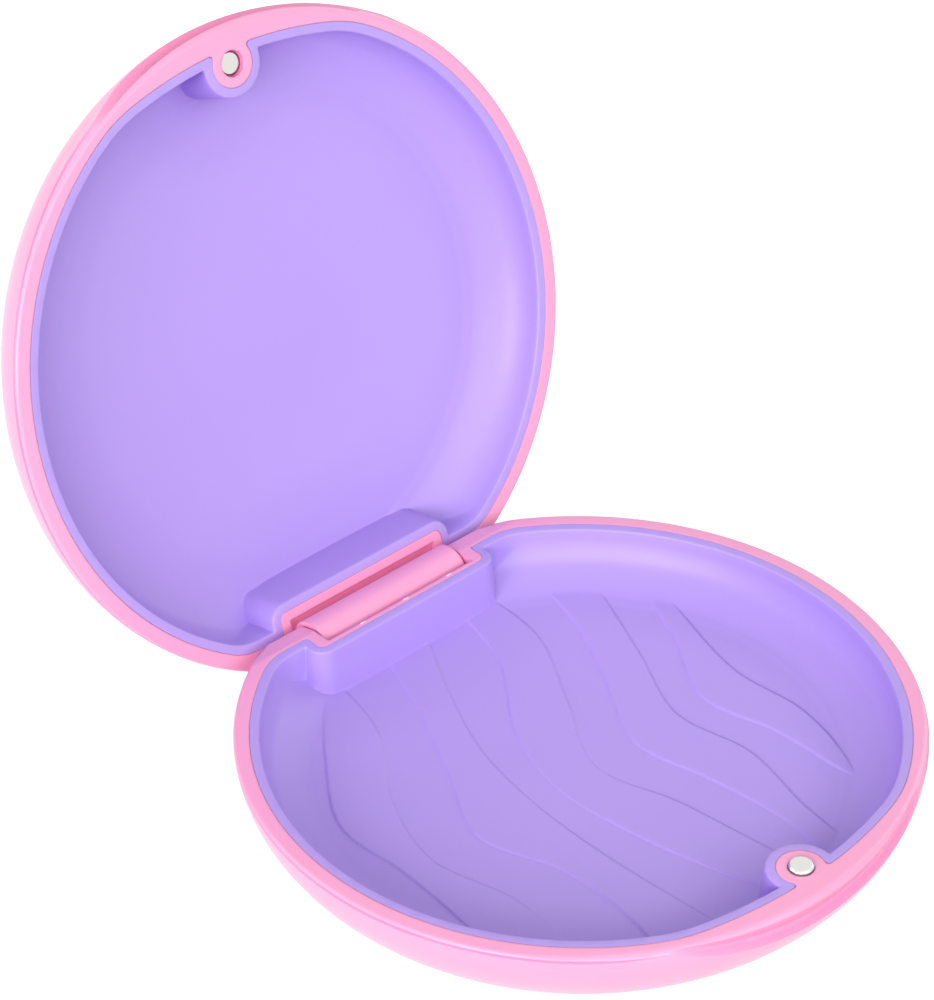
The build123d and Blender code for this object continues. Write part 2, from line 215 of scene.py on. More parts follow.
# %% Flowing bands
STATIONS = (33.0, 22.0, 11.0, 0.0, -12.0, -24.0, -34.0)
BANDS = (
    (
        (-13.0, -22.1, -29.1, -28.8, -29.9, -33.0, -36.0),
        (-11.5, -13.6, -20.8, -24.5, -22.1, -23.8, -26.5),
    ),
    (
        (-3.4, -6.9, -11.9, -17.2, -14.0, -14.9, -18.0),
        (3.9, -1.7, -6.0, -7.8, -8.4, -8.4, -8.4),
    ),
    (
        (9.4, 6.9, -0.5, -3.9, -3.2, -1.4, 0.6),
        (14.0, 13.8, 8.4, 2.5, 4.9, 5.7, 5.9),
    ),
    (
        (20.6, 19.4, 14.7, 9.1, 10.6, 11.0, 9.0),
        (29.0, 25.2, 21.1, 16.5, 17.5, 14.4, 12.4),
    ),
    (
        (34.0, 30.4, 26.6, 20.9, 22.4, 22.1, 22.6),
        (37.0, 33.0, 29.6, 27.1, 27.2, 23.0, 16.0),
    ),
)
BAND_RISE = 0.22
BAND_EDGE = 0.4         # width over which a band's edge rises


def flowing(line, y):
    """x of a wave line and its slope at each y: a cubic through the stations (Catmull-Rom)."""
    at = np.array(STATIONS[::-1])
    value = np.array(line[::-1])
    slope = np.gradient(value, at)
    k = np.clip(np.searchsorted(at, y) - 1, 0, len(at) - 2)
    width = at[k + 1] - at[k]
    t = (y - at[k]) / width
    a, b, c, d = value[k], slope[k] * width, value[k + 1], slope[k + 1] * width
    x = a + b * t + (3 * (c - a) - 2 * b - d) * t ** 2 + (2 * (a - c) + b + d) * t ** 3
    lean = (b + 2 * (3 * (c - a) - 2 * b - d) * t + 3 * (2 * (a - c) + b + d) * t ** 2) / width
    return x, lean


def rising(x, y, line):
    """0 on the left of a wave line and 1 on its right, with a smooth step across it."""
    at, lean = flowing(line, y)
    t = np.clip((x - at) / np.sqrt(1 + lean ** 2) / BAND_EDGE + 0.5, 0, 1)
    return t * t * (3 - 2 * t)


def band_height(x, y):
    y = np.clip(y, STATIONS[-1], STATIONS[0])
    return sum(rising(x, y, left) * (1 - rising(x, y, right)) for left, right in BANDS) * BAND_RISE


print(len(BANDS), "bands,", BAND_RISE, "mm high")

# %% [markdown]
# Two measures of the rim are needed: how far a point lies inside it, and where points at even steps
# along it are, with the direction that leads inwards. A point counts as inside when a ray from it
# crosses the rim an odd number of times.

# %% Measure from the rim
AT_ONCE = 2000          # points that are compared with the rim in one go, to spare memory


def distance_in(points, rim):
    """Distance from each point to the rim, negative for points outside it."""
    a, b = rim, np.roll(rim, -1, axis=0)
    run = b - a
    length2 = (run ** 2).sum(1)
    best = np.empty(len(points))
    for part in np.array_split(np.arange(len(points)), max(1, len(points) // AT_ONCE)):
        p = points[part, None, :]
        t = np.clip(((p - a) * run).sum(2) / length2, 0, 1)
        gap = np.sqrt((((a + t[..., None] * run) - p) ** 2).sum(2)).min(1)
        above = (a[:, 1] > p[..., 1]) != (b[:, 1] > p[..., 1])
        steep = np.where(run[:, 1] == 0, 1e-12, run[:, 1])
        left = p[..., 0] < a[:, 0] + (p[..., 1] - a[:, 1]) * run[:, 0] / steep
        inside = (above & left).sum(1) % 2 == 1
        best[part] = np.where(inside, gap, -gap)
    return best


def even_ring(rim, step):
    """Points and inward directions at even steps along the rim."""
    closed = np.vstack([rim, rim[:1]])
    piece = np.sqrt((np.diff(closed, axis=0) ** 2).sum(1))
    along = np.concatenate([[0], np.cumsum(piece)])
    at = np.linspace(0, along[-1], int(along[-1] / step), endpoint=False)
    points = np.stack([np.interp(at, along, closed[:, i]) for i in (0, 1)], 1)
    run = np.roll(points, -1, axis=0) - np.roll(points, 1, axis=0)
    run /= np.sqrt((run ** 2).sum(1))[:, None]
    return points, np.stack([-run[:, 1], run[:, 0]], 1)


print("middle to rim", distance_in(np.zeros((1, 2)), rims["base"]).round(2)[0], "mm")

# %% [markdown]
# Points are laid where the surface turns: in rows that follow the rim, close together on the lip and
# at the wall's foot and wider between them, in an even grid over the floor, and in rows beside each
# wave line. A row point is kept only if it really is that far from the rim, so rows end cleanly in
# corners.

# %% Points for the inside
RIM_STEP = 0.4
ROWS = (0.04, 0.08, 0.12, 0.16, 0.2, 0.24, 0.28, 0.36, 0.46, 0.56, 0.66, 0.76)
ROWS += (0.81, 0.86, 0.91, 0.96, 1.01, 1.08, 1.2, 1.4, 1.65, 1.95, 2.3, 2.7)
ROW_TRUE = 0.97         # share of a row's distance that its points must really have
BESIDE_LINE = (-0.3, -0.18, -0.08, 0.0, 0.08, 0.18, 0.3)
LINE_STEPS = 170
GRID_REACH = 42         # a little more than the liner's radius
GRID_CLEAR = 0.3        # between the last row and the grid
LINE_CLEAR = 0.9        # between the rim and the rows beside the wave lines


def floor_grid(step):
    """An even triangular grid over the whole liner."""
    row = step * math.sqrt(0.75)
    reach = int(GRID_REACH / row)
    return np.array([
        (step * (i + 0.5 * (j % 2)), row * j)
        for j in range(-reach, reach + 1)
        for i in range(-int(GRID_REACH / step), int(GRID_REACH / step) + 1)
    ])


def line_points():
    """Rows of points beside every wave line."""
    y = np.linspace(STATIONS[-1], STATIONS[0], LINE_STEPS)
    rows = []
    for line in (line for band in BANDS for line in band):
        x, lean = flowing(line, y)
        across = 1 / np.sqrt(1 + lean ** 2)
        rows += [np.stack([x + s * across, y - s * lean * across], 1) for s in BESIDE_LINE]
    return np.concatenate(rows)


def inside_points(rim, step, with_bands):
    """All points in plan from which the new inside is built."""
    ring, inward = even_ring(rim, RIM_STEP)
    kept = []
    for row in ROWS:
        points = ring + inward * row
        kept.append(points[distance_in(points, rim) > row * ROW_TRUE])
    grid = floor_grid(step)
    kept.append(grid[distance_in(grid, rim) > ROWS[-1] + GRID_CLEAR])
    if with_bands:
        beside = line_points()
        kept.append(beside[distance_in(beside, rim) > LINE_CLEAR])
    return np.concatenate(kept)


print(len(ROWS), "rows along the rim,", len(line_points()), "points beside the wave lines")

# %% [markdown]
# The CAD liner sits in its shell with a small clearance all round, as a real one needs. Seen from above
# that gap draws a wide dark line, but the photo shows only a hair line. So the lip's outer edge is moved
# out by a few hundredths of a millimetre, square to the rim, and a hair line stays.

# %% Spread the lip
LIP_SPREAD = 0.04       # in mm, less than the clearance
LIP_WIDTH = (0.5, 3)    # a vertex is on the lip's outer edge if it is this far from the rim


def nearest_on(rim, point):
    """The nearest point of the closed rim line."""
    run = np.roll(rim, -1, axis=0) - rim
    t = np.clip(((point - rim) * run).sum(1) / (run ** 2).sum(1), 0, 1)
    on_line = rim + t[:, None] * run
    return on_line[((on_line - point) ** 2).sum(1).argmin()]


def spread_lip(shell, rim):
    """Move the outer edge of the lip out, and return how many vertices moved."""
    inner = {tuple(np.round(p, 4)) for p in rim}
    moved = 0
    for v in shell.verts:
        if abs(v.co.z) < ON_PLANE and tuple(np.round(v.co.xy, 4)) not in inner:
            out = Vector(np.array(v.co.xy) - nearest_on(rim, np.array(v.co.xy)))
            if LIP_WIDTH[0] < out.length < LIP_WIDTH[1]:
                v.co.xy += out.normalized() * LIP_SPREAD
                moved += 1
    return moved


for body, shell in shells.items():
    print(LINERS[body], "lip spread at", spread_lip(shell, rims[body]), "vertices")

# %% [markdown]
# A constrained Delaunay triangulation joins all points in plan and keeps the rim's own edges, so the
# new inside closes against the CAD lip without a seam. Triangles that fall outside the rim are dropped.
# The depth is then read for each point. Only the lid's liner has a faint dimple in its middle, opposite
# the place where the melt came in, and only the base's has the bands.

# %% Join the points and give them depth
FOOT_FILLET = 0.3       # blend width where the walls meet the floor
BAND_BLEND = 0.12
LIP_IN = 0.3            # this near to the rim only the wall profile counts
GATE_DEPTH, GATE_R = 0.09, 1.4
SAME_POINT = 1e-7


def joined(rim, extra):
    """Points and triangles that fill the rim, and for each point the input points it came from."""
    plan = [Vector(p) for p in np.concatenate([rim, extra])]
    loop = list(range(len(rim)))
    points, _, triangles, source, _, _ = delaunay_2d_cdt(plan, [], [loop], 1, SAME_POINT, True)
    placed = np.array([tuple(p) for p in points])
    triangles = np.array([tuple(t) for t in triangles])
    return placed, triangles[distance_in(placed[triangles].mean(1), rim) > 0], source


def moulded_depth(placed, inward, with_bands):
    """Height of the inside at each point, where inward is its distance to the rim."""
    x, y = placed.T
    r = np.hypot(x, y)
    ground = bowl_height(r)
    if with_bands:
        ground = soft_max(ground, floor_height(r) + band_height(x, y), BAND_BLEND)
    else:
        ground = ground - GATE_DEPTH * np.exp(-((r / GATE_R) ** 2))
    z = soft_max(ground, wall_height(inward), FOOT_FILLET)
    return np.where(inward < LIP_IN, wall_height(inward), z)


print("fillet at the foot", FOOT_FILLET, "mm, dimple", GATE_DEPTH, "mm deep")

# %% [markdown]
# The new inside and what is left of the CAD liner become one closed mesh, which is turned back from the
# flat frame to its place. It stands in for the CAD liner, which is hidden, and moves with the same body.
# Its colour is given below, with the other pieces.

# %% Press both liners
STEP = {"base": 0.5, "lid": 0.6}        # spacing of the floor grid, in mm
SHARP = math.radians(38)                # edges that turn more than this stay crisp
coarse = 1.0


def set_in_place(name, mesh, body):
    """Turn a mesh back from the flat frame and make it a piece that rides on the body."""
    mesh.transform(flat[body].inverted() @ Matrix.Scale(MM, 4))
    if flat[body].determinant() < 0:
        mesh.flip_normals()
    mesh.shade_smooth()
    piece = bpy.data.objects.new(name, mesh)
    bpy.context.scene.collection.objects.link(piece)
    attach(piece, body)
    return piece


def pressed_liner(body, step, with_bands):
    """One liner with its new inside, from its CAD shell."""
    shell, ring, rim = shells[body], rings[body], rims[body]
    placed, triangles, source = joined(rim, inside_points(rim, step, with_bands))
    inward = np.maximum(distance_in(placed, rim), 0)
    depth = moulded_depth(placed, inward, with_bands)
    shell.verts.index_update()
    corners = [v.co[:] for v in shell.verts]
    faces = [[v.index for v in f.verts] for f in shell.faces]
    place = {}
    for i, origin in enumerate(source):
        if origin and origin[0] < len(rim):
            place[i] = ring[origin[0]].index
        else:
            place[i] = len(corners)
            corners.append((*placed[i], depth[i]))
    faces += [[place[i] for i in face] for face in triangles.tolist()]
    mesh = bpy.data.meshes.new(LINERS[body] + "_pressed")
    mesh.from_pydata(corners, [], faces)
    liner = set_in_place(mesh.name, mesh, body)
    mesh.set_sharp_from_angle(angle=SHARP)
    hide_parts(LINERS[body])
    return liner


liners = [pressed_liner(body, STEP[body] * coarse, with_bands=body == "base") for body in LINERS]
for liner in liners:
    print(liner.name, len(liner.data.vertices), "vertices,", len(liner.data.polygons), "faces")

# %% [markdown]
# Colours are written as sRGB hex, as a colour picker shows them, and turned to linear light in one
# place. One small function adds any node with its settings and its links. A noise texture's scale is
# easier to choose as a number of waves over a length that can be held against the object.

# %% Colour and node helpers
def srgb(code):
    """A hex colour such as "f9b4e0" as linear red, green, blue and alpha."""
    parts = [int(code[i:i + 2], 16) / 255 for i in (0, 2, 4)]
    return tuple(c / 12.92 if c <= 0.04045 else ((c + 0.055) / 1.055) ** 2.4 for c in parts) + (1.0,)


def add(tree, kind, links=None, values=None, **settings):
    """Add a node, set its properties, its input values by name or number, and its incoming links."""
    made = tree.nodes.new(kind)
    for name, value in settings.items():
        setattr(made, name, value)
    for name, value in (values or {}).items():
        made.inputs[name].default_value = value
    for name, socket in (links or {}).items():
        tree.links.new(socket, made.inputs[name])
    return made


def new_material(name):
    """An empty material, its node tree, and the Object coordinates that its patterns read."""
    material = bpy.data.materials.new(name)
    material.use_nodes = True
    tree = material.node_tree
    tree.nodes.clear()
    return material, tree, add(tree, "ShaderNodeTexCoord").outputs["Object"]


def waves(count, mm):
    """Noise scale of a pattern with this many waves over a length in millimetres."""
    return count / (mm * MM)


print("mid grey in linear light", round(srgb("808080")[0], 3))

# %% [markdown]
# In a fold the colour is painted deeper. This is painted shade, standing in for the shade there and for the
# light that the plastic colours again and again. More light bounces would give a part of this, but
# slowly and with noise. The Ambient Occlusion node instead measures how much of the sky the piece
# covers itself, within its reach. Full is the open share of the sky at which the painted shade is
# complete, and most is how strong it may get. Towards the hinge it fades out, because the barrel's
# groove is dark enough without it.

# %% Painted shade in folds
FOLD_RAYS = 8
HINGE_REACH = 0.035     # in m; the fading ends at this distance from the pin
ACROSS_PIN = (0, 1, 1)  # the distance is measured square to the pin, which lies along x


def painted_fold_shade(tree, place, reach, full, most):
    """0 where a piece lies open, and up to most inside its own folds: the share of painted shade."""
    sky = add(
        tree, "ShaderNodeAmbientOcclusion",
        values={"Distance": reach}, samples=FOLD_RAYS, only_local=True,
    )
    covered = add(
        tree, "ShaderNodeMapRange", {"Value": sky.outputs["AO"]},
        {"From Min": 1.0, "From Max": full, "To Max": most},
    )
    from_pin = add(tree, "ShaderNodeVectorMath", {0: place}, {1: pivot}, operation="SUBTRACT")
    square = add(
        tree, "ShaderNodeVectorMath", {0: from_pin.outputs[0]},
        {1: ACROSS_PIN}, operation="MULTIPLY",
    )
    away = add(tree, "ShaderNodeVectorMath", {0: square.outputs[0]}, operation="LENGTH")
    links = {"Value": away.outputs["Value"]}
    allowed = add(tree, "ShaderNodeMapRange", links, {"From Max": HINGE_REACH})
    links = {0: covered.outputs[0], 1: allowed.outputs[0]}
    return add(tree, "ShaderNodeMath", links, operation="MULTIPLY").outputs[0]


print("fold colour fades in over", HINGE_REACH / MM, "mm from the pin")

# %% [markdown]
# Both plastics are injection moulded. Light goes a little way in, so a trace of subsurface scattering
# softens their shadows. Their colour drifts slightly where the melt flowed, handling leaves faint
# rubbed patches that change the roughness, and the polish of the mould gives fine grain. A real polish
# is finer than a pixel, so the grain is drawn as coarse as it needs to show. The ABS of the shells is
# glossy, with a thin clear coat on top. The polypropylene of the liners has a satin look and no coat.
# The shells have crisp CAD edges, and the Bevel node rounds them in the shading as a mould would. The
# nibs on the pocket's wall get a near-white pink, a painted highlight that makes them read light.

# %% Plastics
PLASTIC_IOR = 1.49
COAT_ROUGHNESS = 0.15
SCATTER = 0.06
SCATTER_DEPTH = (0.0012, 0.0007, 0.0009)    # in m, for red, green and blue
FLOW, RUBS = waves(4.5, 100), waves(14, 100)
RUBBED_BY = (-0.04, 0.06)       # how far the rubbed patches move the roughness down and up
GRAIN_STRENGTH, GRAIN_DEPTH = 0.03, 0.1 * MM
EDGE_RAYS = 6


def moulded_plastic(name, *, colour, drift, fold, reach, full, most, roughness, coat, grain, edge=0.0):
    """A moulded plastic. Fold is its painted shade colour. Reach and edge are in metres, grain is the scale
    of its noise.
    """
    material, tree, place = new_material(name)
    flow = add(tree, "ShaderNodeTexNoise", {"Vector": place}, {"Scale": FLOW, "Detail": 2.0})
    tint = add(
        tree, "ShaderNodeMix", {"Factor": flow.outputs["Fac"]},
        {"A": srgb(colour), "B": srgb(drift)}, data_type="RGBA",
    )
    # painted shade: the fold colour is mixed in where the piece covers its own sky
    links = {
        "Factor": painted_fold_shade(tree, place, reach, full, most),
        "A": tint.outputs["Result"],
    }
    tint_and_shade = add(tree, "ShaderNodeMix", links, {"B": srgb(fold)}, data_type="RGBA")
    rubbed = add(tree, "ShaderNodeTexNoise", {"Vector": place}, {"Scale": RUBS, "Detail": 4.0})
    polish = add(
        tree, "ShaderNodeMapRange", {"Value": rubbed.outputs["Fac"]},
        {"To Min": roughness + RUBBED_BY[0], "To Max": roughness + RUBBED_BY[1]},
    )
    fine = add(tree, "ShaderNodeTexNoise", {"Vector": place}, {"Scale": grain, "Detail": 2.0})
    bump = add(
        tree, "ShaderNodeBump", {"Height": fine.outputs["Fac"]},
        {"Strength": GRAIN_STRENGTH, "Distance": GRAIN_DEPTH},
    )
    if edge:
        soft = add(tree, "ShaderNodeBevel", values={"Radius": edge}, samples=EDGE_RAYS)
        tree.links.new(soft.outputs["Normal"], bump.inputs["Normal"])
    links = {
        "Base Color": tint_and_shade.outputs["Result"],
        "Roughness": polish.outputs["Result"],
        "Normal": bump.outputs["Normal"],
    }
    values = {
        "IOR": PLASTIC_IOR,
        "Coat Weight": coat,
        "Coat Roughness": COAT_ROUGHNESS,
        "Subsurface Weight": SCATTER,
        "Subsurface Radius": SCATTER_DEPTH,
    }
    skin = add(tree, "ShaderNodeBsdfPrincipled", links, values)
    add(tree, "ShaderNodeOutputMaterial", {"Surface": skin.outputs["BSDF"]})
    return material


# the fold colours below are painted shade for creases and recesses
pink_abs = moulded_plastic(
    "pink ABS, gloss moulded", colour="fca9d1", drift="faa6ce", fold="f0489c",
    reach=6 * MM, full=0.78, most=0.4, roughness=0.3, coat=0.25, grain=waves(3, 2), edge=0.4 * MM,
)
lavender_pp = moulded_plastic(
    "lavender polypropylene, satin moulded", colour="bba0ec", drift="b79dea", fold="8d6cc9",
    reach=12 * MM, full=0.45, most=1.0, roughness=0.42, coat=0.0, grain=waves(9, 5),
)
# painted highlight: the nibs get a near-white pink so that they read light beside the barrel
pale_nib_highlight = moulded_plastic(
    "pink ABS, thin flash", colour="ffe6f3", drift="ffe0f0", fold="ffd0e8",
    reach=1 * MM, full=0.5, most=0.1, roughness=0.2, coat=0.4, grain=waves(3, 2),
)
print("plastics", pink_abs.name, "|", lavender_pp.name, "|", pale_nib_highlight.name)

# %% [markdown]
# The magnets are nickel plated, and the pin is drawn steel. Both keep the default metal settings, and
# only the roughness varies: fine clouds for the plating, and lines along the pin for the drawing, which
# are the same clouds stretched lengthwise.

# %% Metals
METAL_MARKS = waves(9, 10)
METAL_EDGE = 0.1 * MM
HAZED_BY = (-0.05, 0.08)        # how far the marks move the roughness down and up


def bright_metal(name, colour, roughness, stretch):
    """A bare metal whose marks are stretched by these shares along x, y and z."""
    material, tree, place = new_material(name)
    drawn = add(tree, "ShaderNodeMapping", {"Vector": place}, {"Scale": stretch})
    links = {"Vector": drawn.outputs["Vector"]}
    marks = add(tree, "ShaderNodeTexNoise", links, {"Scale": METAL_MARKS, "Detail": 3.0})
    haze = add(
        tree, "ShaderNodeMapRange", {"Value": marks.outputs["Fac"]},
        {"To Min": roughness + HAZED_BY[0], "To Max": roughness + HAZED_BY[1]},
    )
    soft = add(tree, "ShaderNodeBevel", values={"Radius": METAL_EDGE}, samples=EDGE_RAYS)
    links = {"Roughness": haze.outputs["Result"], "Normal": soft.outputs["Normal"]}
    skin = add(tree, "ShaderNodeBsdfPrincipled", links, {"Base Color": srgb(colour), "Metallic": 1.0})
    add(tree, "ShaderNodeOutputMaterial", {"Surface": skin.outputs["BSDF"]})
    return material


nickel = bright_metal("nickel plating on the magnets", "e4e3df", 0.22, (1, 1, 1))
steel = bright_metal("drawn steel pin", "b9bbbd", 0.3, (0.05, 1, 1))
print("metals", nickel.name, "|", steel.name)

# %% [markdown]
# CAD pieces keep their meshes and get these materials in their slots.

# %% Dress the pieces
FINISH = {
    "base_shell": pink_abs,
    "lid_shell": pink_abs,
    "base_magnet": nickel,
    "lid_magnet": nickel,
    "hinge_pin": steel,
}
for name, material in FINISH.items():
    nodes[name].data.materials.clear()
    nodes[name].data.materials.append(material)
for liner in liners:
    liner.data.materials.append(lavender_pp)
print("dressed", len(FINISH), "CAD pieces and", len(liners), "liners")

# %% [markdown]
# What repeats or follows a line is made by Geometry Nodes. A tree gets its sizes through named inputs,
# and ends in Realize Instances and Set Material, so that real faces with their finish come out. It runs
# as a modifier on a carrier object. Its result is kept as a plain mesh, and the carrier is thrown away.

# %% Geometry Nodes helpers
def shape_tree(name, inputs):
    """A node tree with these named inputs, their identifiers, and the node that hands them out."""
    tree = bpy.data.node_groups.new(name, "GeometryNodeTree")
    tree.interface.new_socket(name="Geometry", in_out="OUTPUT", socket_type="NodeSocketGeometry")
    keys = {}
    for label, kind in inputs.items():
        socket = tree.interface.new_socket(name=label, in_out="INPUT", socket_type=kind)
        keys[label] = socket.identifier
    return tree, keys, add(tree, "NodeGroupInput")


def end_tree(tree, shape, given):
    """Make the shape real, give it the material of the input, and hand it out."""
    real = add(tree, "GeometryNodeRealizeInstances", {"Geometry": shape})
    links = {"Geometry": real.outputs["Geometry"], "Material": given.outputs["Material"]}
    dressed = add(tree, "GeometryNodeSetMaterial", links)
    add(tree, "NodeGroupOutput", {"Geometry": dressed.outputs["Geometry"]})


def carrier_of(name, tree, keys, sizes, points=()):
    """An object made of bare points that carries the tree, with its inputs set."""
    mesh = bpy.data.meshes.new(name)
    mesh.from_pydata(points, [], [])
    carrier = bpy.data.objects.new(name + " carrier", mesh)
    bpy.context.scene.collection.objects.link(carrier)
    grow = carrier.modifiers.new("grow", "NODES")
    grow.node_group = tree
    for label, value in sizes.items():
        grow[keys[label]] = value
    return carrier


def plain_mesh(carrier):
    """What the carrier's modifiers make, as a plain mesh. The carrier is removed."""
    whole = carrier.evaluated_get(bpy.context.evaluated_depsgraph_get())
    mesh = bpy.data.meshes.new_from_object(whole)
    bpy.data.objects.remove(carrier)
    return mesh


print("helpers for Geometry Nodes are ready")

# %% [markdown]
# Three short nibs stand on the inner edge of the pocket's front wall, most likely marks of the mould, too
# small for the CAD model: blocks of about a millimetre, half sunk into the wall. Their near-white pink is a
# painted highlight, so that they show light beside the barrel. The tree puts a block on each point, and a
# Bevel modifier breaks the edges. Its profile of 0 cuts each edge back square, which is too small to see.

# %% Nibs on the pocket wall
NIBS_AT = (-6.5, 0.7, 8.0)          # along the wall, in mm
NIB_SIZE = (1.1, 0.44, 0.36)
NIB_EDGE, NIB_EDGE_STEPS = 0.06, 3
WALL_EDGE_Y = 32.5
NIB_MIDDLE_Z = -0.176


def nib_tree():
    inputs = {
        "Geometry": "NodeSocketGeometry",
        "Block": "NodeSocketVector",
        "Material": "NodeSocketMaterial",
    }
    tree, keys, given = shape_tree("a block on each point", inputs)
    block = add(tree, "GeometryNodeMeshCube", {"Size": given.outputs["Block"]})
    links = {"Points": given.outputs["Geometry"], "Instance": block.outputs["Mesh"]}
    row = add(tree, "GeometryNodeInstanceOnPoints", links)
    end_tree(tree, row.outputs["Instances"], given)
    return tree, keys


def mould_nibs():
    points = [(x, WALL_EDGE_Y, NIB_MIDDLE_Z) for x in NIBS_AT]
    sizes = {"Block": NIB_SIZE, "Material": pale_nib_highlight}
    carrier = carrier_of("hinge_pocket_nibs", *nib_tree(), sizes, points)
    broken = carrier.modifiers.new("broken edges", "BEVEL")
    broken.width = NIB_EDGE
    broken.segments = NIB_EDGE_STEPS
    broken.profile = 0.0
    broken.limit_method = "NONE"
    return plain_mesh(carrier)


nibs = set_in_place("hinge_pocket_nibs", mould_nibs(), "base")
print(len(NIBS_AT), "nibs,", NIB_SIZE[0], "mm long,", len(nibs.data.polygons), "faces")

# %% [markdown]
# The dark rings round the magnets are painted shade: dull, nearly black, with a slightly bumpy skin.
# They are the same all over, so plain values on the shader are enough, with one noise for the bumps.

# %% Painted shade ring material
RING_BUMPS = waves(5, 2)
RING_ROUGHNESS = 0.45


def shade_ring_material(name, colour):
    material, tree, place = new_material(name)
    ring_bumps = add(tree, "ShaderNodeTexNoise", {"Vector": place}, {"Scale": RING_BUMPS, "Detail": 2.0})
    bump = add(
        tree, "ShaderNodeBump", {"Height": ring_bumps.outputs["Fac"]},
        {"Strength": 0.3, "Distance": 0.05 * MM},
    )
    values = {"Base Color": srgb(colour), "Roughness": RING_ROUGHNESS}
    skin = add(tree, "ShaderNodeBsdfPrincipled", {"Normal": bump.outputs["Normal"]}, values)
    add(tree, "ShaderNodeOutputMaterial", {"Surface": skin.outputs["BSDF"]})
    return material


# painted shade: a nearly black ring where the gap round each magnet lies in shade
gap_shade = shade_ring_material("dark glue round the magnets", "4a4450")
print("gap_shade", gap_shade.name)

# %% [markdown]
# A thin dark line shows round each magnet, where the gap between magnet and shell lies in shade, so a
# nearly black ring is put there as painted shade. The magnets are most likely glued in, because a thin dark
# line shows round each of them. It is half sunk at the foot of the base's magnet, and round the face of the
# lid's, at the bottom of its hole. It is a small circle swept along a larger one, so one tree with two radii
# makes both lines. The larger circle runs round the magnet's own axis, which is measured from the CAD piece.

# %% Painted shade round the magnets
STEPS_AROUND, STEPS_ACROSS = 96, 10


def ring_tree():
    inputs = {
        "Radius": "NodeSocketFloat",
        "Thickness": "NodeSocketFloat",
        "Middle": "NodeSocketVector",
        "Material": "NodeSocketMaterial",
    }
    tree, keys, given = shape_tree("a round line swept along a circle", inputs)
    path = add(
        tree, "GeometryNodeCurvePrimitiveCircle", {"Radius": given.outputs["Radius"]},
        {"Resolution": STEPS_AROUND},
    )
    line = add(
        tree, "GeometryNodeCurvePrimitiveCircle", {"Radius": given.outputs["Thickness"]},
        {"Resolution": STEPS_ACROSS},
    )
    links = {"Curve": path.outputs["Curve"], "Profile Curve": line.outputs["Curve"]}
    swept = add(tree, "GeometryNodeCurveToMesh", links)
    links = {"Geometry": swept.outputs["Mesh"], "Translation": given.outputs["Middle"]}
    moved = add(tree, "GeometryNodeTransform", links)
    end_tree(tree, moved.outputs["Geometry"], given)
    return tree, keys


def axis_and_radius(magnet, body):
    """x, y and radius of a magnet in the flat frame, in millimetres."""
    to_flat = Matrix.Scale(1 / MM, 4) @ flat[body]
    corners = [to_flat @ v.co for v in nodes[magnet].data.vertices]
    x, y = [(min(c[i] for c in corners) + max(c[i] for c in corners)) / 2 for i in (0, 1)]
    return x, y, max(math.hypot(c.x - x, c.y - y) for c in corners)


def shade_ring(magnet, body, tree, keys, *, beside, depth, thick):
    """A line beside the magnet's edge, with its middle at a depth below the parting plane."""
    x, y, radius = axis_and_radius(magnet, body)
    sizes = {
        "Radius": radius + beside,
        "Thickness": thick,
        "Middle": (x, y, -depth),
        "Material": gap_shade,
    }
    name = magnet + "_glue"
    ring = set_in_place(name, plain_mesh(carrier_of(name, tree, keys, sizes)), body)
    print(name, "radius", round(radius + beside, 2), "mm,", len(ring.data.polygons), "faces")


swept_ring = ring_tree()
shade_ring("base_magnet", "base", *swept_ring, beside=0.01, depth=0.0, thick=0.1)
shade_ring("lid_magnet", "lid", *swept_ring, beside=-0.03, depth=0.6, thick=0.045)

# %% [markdown]
# The photo is a cut-out on white. The paper under the case and the world behind it look white to the
# camera and to reflections, but they light the case far less than they look. Stronger lamps would also
# turn the paper white, but would bleach the case. The paper still shows the case's shadow, because its
# glow only lifts the shadow and does not fill it.

# %% Paper and surroundings
PAPER_HALF = 3.0        # in m
PAPER_TONE = "cccccc"
PAPER_LIFT = 0.65
AMBIENT = 0.42


def white_to_the_eye(tree):
    """1 for rays from the camera, for reflections and for rays through glass, otherwise 0."""
    rays = add(tree, "ShaderNodeLightPath")
    links = {0: rays.outputs["Is Camera Ray"], 1: rays.outputs["Is Glossy Ray"]}
    seen = add(tree, "ShaderNodeMath", links, operation="MAXIMUM")
    links = {0: seen.outputs[0], 1: rays.outputs["Is Transmission Ray"]}
    return add(tree, "ShaderNodeMath", links, operation="MAXIMUM").outputs[0]


def paper():
    half = PAPER_HALF
    corners = [(-half, -half, 0), (half, -half, 0), (half, half, 0), (-half, half, 0)]
    mesh = bpy.data.meshes.new("paper")
    mesh.from_pydata(corners, [], [(0, 1, 2, 3)])
    sheet = bpy.data.objects.new("paper", mesh)
    bpy.context.scene.collection.objects.link(sheet)
    material, tree, _ = new_material("white paper")
    links = {0: white_to_the_eye(tree)}
    lifted = add(tree, "ShaderNodeMath", links, {1: PAPER_LIFT}, operation="MULTIPLY")
    matt = add(tree, "ShaderNodeBsdfDiffuse", values={"Color": srgb(PAPER_TONE)})
    glow = add(tree, "ShaderNodeEmission", {"Strength": lifted.outputs[0]})
    both = add(tree, "ShaderNodeAddShader", {0: matt.outputs[0], 1: glow.outputs[0]})
    add(tree, "ShaderNodeOutputMaterial", {"Surface": both.outputs[0]})
    mesh.materials.append(material)


def surroundings():
    world = bpy.data.worlds.new("white studio")
    bpy.context.scene.world = world
    world.use_nodes = True
    tree = world.node_tree
    tree.nodes.clear()
    strength = add(tree, "ShaderNodeMix", {"Factor": white_to_the_eye(tree)}, {"A": AMBIENT, "B": 1.0})
    links = {"Strength": strength.outputs["Result"]}
    light = add(tree, "ShaderNodeBackground", links, {"Color": (1, 1, 1, 1)})
    add(tree, "ShaderNodeOutputWorld", {"Surface": light.outputs[0]})


paper()
surroundings()
print("paper lifted by", PAPER_LIFT, "and ambient light", AMBIENT)
